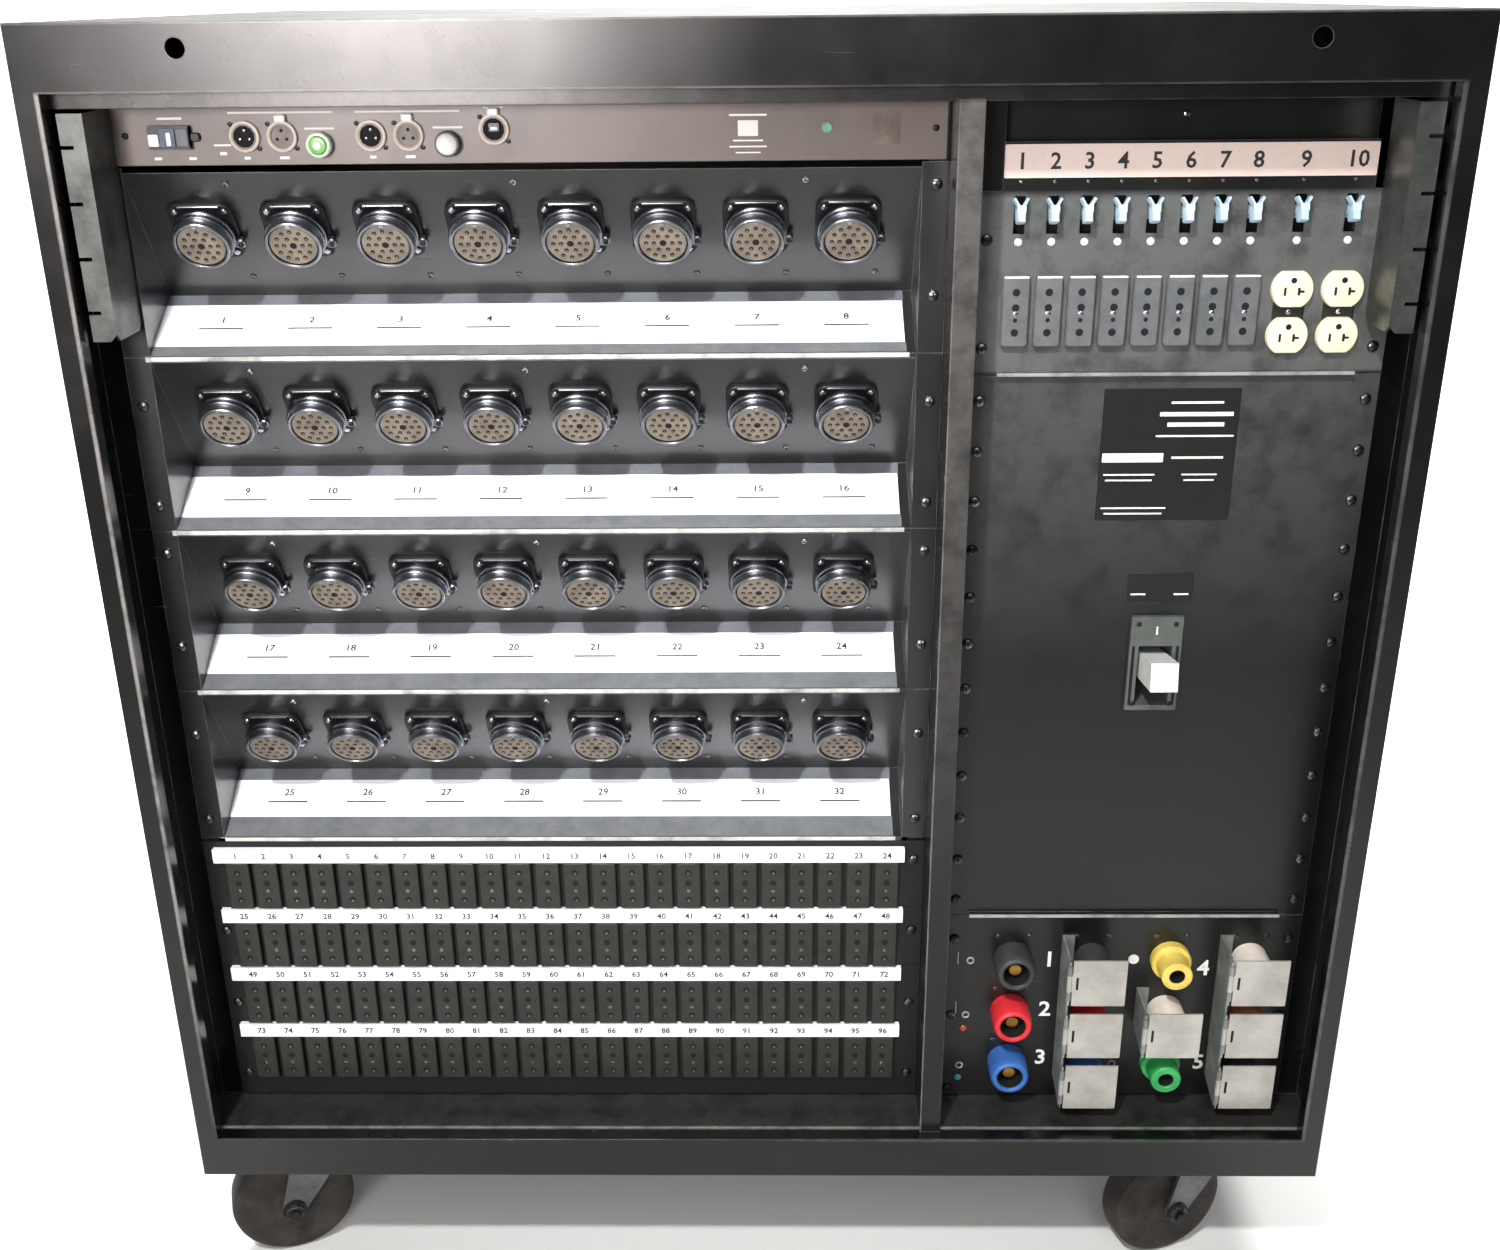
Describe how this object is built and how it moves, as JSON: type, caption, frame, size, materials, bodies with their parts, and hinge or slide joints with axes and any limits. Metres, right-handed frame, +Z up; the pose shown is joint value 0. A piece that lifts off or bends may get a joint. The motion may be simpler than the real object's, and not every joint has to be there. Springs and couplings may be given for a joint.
{
  "type": "dimmer rack",
  "caption": "Black steel dimmer rack on swivel casters with multipin sockets, pin outlets, breakers, cam sockets behind spring covers and a rear door.",
  "frame": {"origin": "on the floor, under the middle of the bounding box", "axes": "+Z up, -Y towards the output side with its sockets, +X to the right as seen from the output side"},
  "size_m": [1.1172, 0.762, 1.225],
  "materials": {
    "cabinet_black": "satin paint, worn to bare metal along the edges",
    "panel_black": "satin paint, light scuffs",
    "strip_bronze": "satin grey-brown, white marks",
    "bare_steel": "plain rolled steel, dull shine",
    "zinc_plate": "dull zinc plate",
    "socket_metal": "machined, dark anodised with bright edges",
    "outlet_black": "moulded, dull",
    "outlet_grey": "moulded, dull",
    "toggle_white": "moulded, smooth",
    "button_green": "clear green lens, lit",
    "module_grey": "dull grey covers",
    "tyre_brown": "dusty grey-brown tread",
    "cam_black": "moulded, dull",
    "cam_red": "moulded, dull",
    "cam_blue": "moulded, dull",
    "cam_yellow": "moulded, dull",
    "cam_green": "moulded, dull"
  },
  "bodies": {
    "cabinet": {"cabinet_shell": "cabinet_black", "hanger_bracket_left": "zinc_plate", "hanger_bracket_right": "zinc_plate", "control_strip": "strip_bronze", "socket_panel_row_1": "panel_black", "multipin_sockets_row_1": "socket_metal", "socket_panel_row_2": "panel_black", "multipin_sockets_row_2": "socket_metal", "socket_panel_row_3": "panel_black", "multipin_sockets_row_3": "socket_metal", "socket_panel_row_4": "panel_black", "multipin_sockets_row_4": "socket_metal", "pin_outlets_row_1": "outlet_black", "pin_outlets_row_2": "outlet_black", "pin_outlets_row_3": "outlet_black", "pin_outlets_row_4": "outlet_black", "breaker_panel": "panel_black", "branch_outlets": "outlet_grey", "main_panel": "panel_black", "main_breaker": "outlet_black", "cam_panel": "panel_black", "cam_socket_black": "cam_black", "cam_socket_red": "cam_red", "cam_socket_blue": "cam_blue", "cam_socket_yellow": "cam_yellow", "cam_socket_green": "cam_green", "cover_bracket_left": "zinc_plate", "cover_bracket_middle": "zinc_plate", "cover_bracket_right": "zinc_plate", "dimmer_module_bank": "module_grey", "control_module": "module_grey"},
    "door": {"module_door": "cabinet_black"},
    "button_1": {"input_button_1": "button_green"},
    "button_2": {"input_button_2": "toggle_white"},
    "toggle_1": {"branch_toggle_1": "toggle_white"},
    "toggle_2": {"branch_toggle_2": "toggle_white"},
    "toggle_3": {"branch_toggle_3": "toggle_white"},
    "toggle_4": {"branch_toggle_4": "toggle_white"},
    "toggle_5": {"branch_toggle_5": "toggle_white"},
    "toggle_6": {"branch_toggle_6": "toggle_white"},
    "toggle_7": {"branch_toggle_7": "toggle_white"},
    "toggle_8": {"branch_toggle_8": "toggle_white"},
    "toggle_9": {"branch_toggle_9": "toggle_white"},
    "toggle_10": {"branch_toggle_10": "toggle_white"},
    "main_handle": {"main_breaker_handle": "toggle_white"},
    "cover_1": {"cam_cover_1": "bare_steel"},
    "cover_2": {"cam_cover_2": "bare_steel"},
    "cover_3": {"cam_cover_3": "bare_steel"},
    "cover_4": {"cam_cover_4": "bare_steel"},
    "cover_5": {"cam_cover_5": "bare_steel"},
    "cover_6": {"cam_cover_6": "bare_steel"},
    "cover_7": {"cam_cover_7": "bare_steel"},
    "fork_1": {"caster_fork_1": "bare_steel"},
    "wheel_1": {"caster_wheel_1": "tyre_brown"},
    "fork_2": {"caster_fork_2": "bare_steel"},
    "wheel_2": {"caster_wheel_2": "tyre_brown"},
    "fork_3": {"caster_fork_3": "bare_steel"},
    "wheel_3": {"caster_wheel_3": "tyre_brown"},
    "fork_4": {"caster_fork_4": "bare_steel"},
    "wheel_4": {"caster_wheel_4": "tyre_brown"}
  },
  "joints": [
    {"name": "door_swing", "type": "hinge", "parent": "cabinet", "child": "door", "pos_m": [0.545, 0.367, 0.69], "axis": [0, 0, -1], "range_deg": [0, 105]},
    {"name": "button_1_press", "type": "slide", "parent": "cabinet", "child": "button_1", "axis": [0, 1, 0], "range_m": [0, 0.003], "stiffness_N_per_m": 500, "springref_m": -0.002},
    {"name": "button_2_press", "type": "slide", "parent": "cabinet", "child": "button_2", "axis": [0, 1, 0], "range_m": [0, 0.003], "stiffness_N_per_m": 500, "springref_m": -0.002},
    {"name": "toggle_1_throw", "type": "hinge", "parent": "cabinet", "child": "toggle_1", "pos_m": [0.2185, -0.301, 1.072], "axis": [1, 0, 0], "range_deg": [0, 30]},
    {"name": "toggle_2_throw", "type": "hinge", "parent": "cabinet", "child": "toggle_2", "pos_m": [0.2453, -0.301, 1.072], "axis": [1, 0, 0], "range_deg": [0, 30]},
    {"name": "toggle_3_throw", "type": "hinge", "parent": "cabinet", "child": "toggle_3", "pos_m": [0.2721, -0.301, 1.072], "axis": [1, 0, 0], "range_deg": [0, 30]},
    {"name": "toggle_4_throw", "type": "hinge", "parent": "cabinet", "child": "toggle_4", "pos_m": [0.2989, -0.301, 1.072], "axis": [1, 0, 0], "range_deg": [0, 30]},
    {"name": "toggle_5_throw", "type": "hinge", "parent": "cabinet", "child": "toggle_5", "pos_m": [0.3257, -0.301, 1.072], "axis": [1, 0, 0], "range_deg": [0, 30]},
    {"name": "toggle_6_throw", "type": "hinge", "parent": "cabinet", "child": "toggle_6", "pos_m": [0.3525, -0.301, 1.072], "axis": [1, 0, 0], "range_deg": [0, 30]},
    {"name": "toggle_7_throw", "type": "hinge", "parent": "cabinet", "child": "toggle_7", "pos_m": [0.3793, -0.301, 1.072], "axis": [1, 0, 0], "range_deg": [0, 30]},
    {"name": "toggle_8_throw", "type": "hinge", "parent": "cabinet", "child": "toggle_8", "pos_m": [0.4061, -0.301, 1.072], "axis": [1, 0, 0], "range_deg": [0, 30]},
    {"name": "toggle_9_throw", "type": "hinge", "parent": "cabinet", "child": "toggle_9", "pos_m": [0.4435, -0.301, 1.072], "axis": [1, 0, 0], "range_deg": [0, 30]},
    {"name": "toggle_10_throw", "type": "hinge", "parent": "cabinet", "child": "toggle_10", "pos_m": [0.4845, -0.301, 1.072], "axis": [1, 0, 0], "range_deg": [0, 30]},
    {"name": "main_handle_throw", "type": "hinge", "parent": "cabinet", "child": "main_handle", "pos_m": [0.36, -0.269, 0.667], "axis": [1, 0, 0], "range_deg": [0, 20]},
    {"name": "cover_1_flip", "type": "hinge", "parent": "cabinet", "child": "cover_1", "pos_m": [0.299, -0.355, 0.363], "axis": [0, 0, -1], "range_deg": [0, 120], "stiffness_Nm_per_rad": 0.03, "springref_deg": -34.38},
    {"name": "cover_2_flip", "type": "hinge", "parent": "cabinet", "child": "cover_2", "pos_m": [0.299, -0.355, 0.3025], "axis": [0, 0, -1], "range_deg": [0, 120], "stiffness_Nm_per_rad": 0.03, "springref_deg": -34.38},
    {"name": "cover_3_flip", "type": "hinge", "parent": "cabinet", "child": "cover_3", "pos_m": [0.299, -0.355, 0.242], "axis": [0, 0, -1], "range_deg": [0, 120], "stiffness_Nm_per_rad": 0.03, "springref_deg": -34.38},
    {"name": "cover_4_flip", "type": "hinge", "parent": "cabinet", "child": "cover_4", "pos_m": [0.3755, -0.355, 0.3025], "axis": [0, 0, -1], "range_deg": [0, 120], "stiffness_Nm_per_rad": 0.03, "springref_deg": -34.38},
    {"name": "cover_5_flip", "type": "hinge", "parent": "cabinet", "child": "cover_5", "pos_m": [0.452, -0.355, 0.363], "axis": [0, 0, -1], "range_deg": [0, 120], "stiffness_Nm_per_rad": 0.03, "springref_deg": -34.38},
    {"name": "cover_6_flip", "type": "hinge", "parent": "cabinet", "child": "cover_6", "pos_m": [0.452, -0.355, 0.3025], "axis": [0, 0, -1], "range_deg": [0, 120], "stiffness_Nm_per_rad": 0.03, "springref_deg": -34.38},
    {"name": "cover_7_flip", "type": "hinge", "parent": "cabinet", "child": "cover_7", "pos_m": [0.452, -0.355, 0.242], "axis": [0, 0, -1], "range_deg": [0, 120], "stiffness_Nm_per_rad": 0.03, "springref_deg": -34.38},
    {"name": "caster_1_swivel", "type": "hinge", "parent": "cabinet", "child": "fork_1", "pos_m": [-0.46, -0.288, 0.14], "axis": [0, 0, 1], "continuous": true},
    {"name": "caster_1_roll", "type": "hinge", "parent": "fork_1", "child": "wheel_1", "pos_m": [-0.49571, -0.301, 0.06197], "axis": [0.342, -0.9397, 0], "continuous": true},
    {"name": "caster_2_swivel", "type": "hinge", "parent": "cabinet", "child": "fork_2", "pos_m": [0.46, -0.288, 0.14], "axis": [0, 0, 1], "continuous": true},
    {"name": "caster_2_roll", "type": "hinge", "parent": "fork_2", "child": "wheel_2", "pos_m": [0.42429, -0.301, 0.06197], "axis": [0.342, -0.9397, 0], "continuous": true},
    {"name": "caster_3_swivel", "type": "hinge", "parent": "cabinet", "child": "fork_3", "pos_m": [-0.46, 0.268, 0.14], "axis": [0, 0, 1], "continuous": true},
    {"name": "caster_3_roll", "type": "hinge", "parent": "fork_3", "child": "wheel_3", "pos_m": [-0.42429, 0.281, 0.06197], "axis": [-0.342, 0.9397, 0], "continuous": true},
    {"name": "caster_4_swivel", "type": "hinge", "parent": "cabinet", "child": "fork_4", "pos_m": [0.46, 0.268, 0.14], "axis": [0, 0, 1], "continuous": true},
    {"name": "caster_4_roll", "type": "hinge", "parent": "fork_4", "child": "wheel_4", "pos_m": [0.49571, 0.281, 0.06197], "axis": [-0.342, 0.9397, 0], "continuous": true}
  ]
}
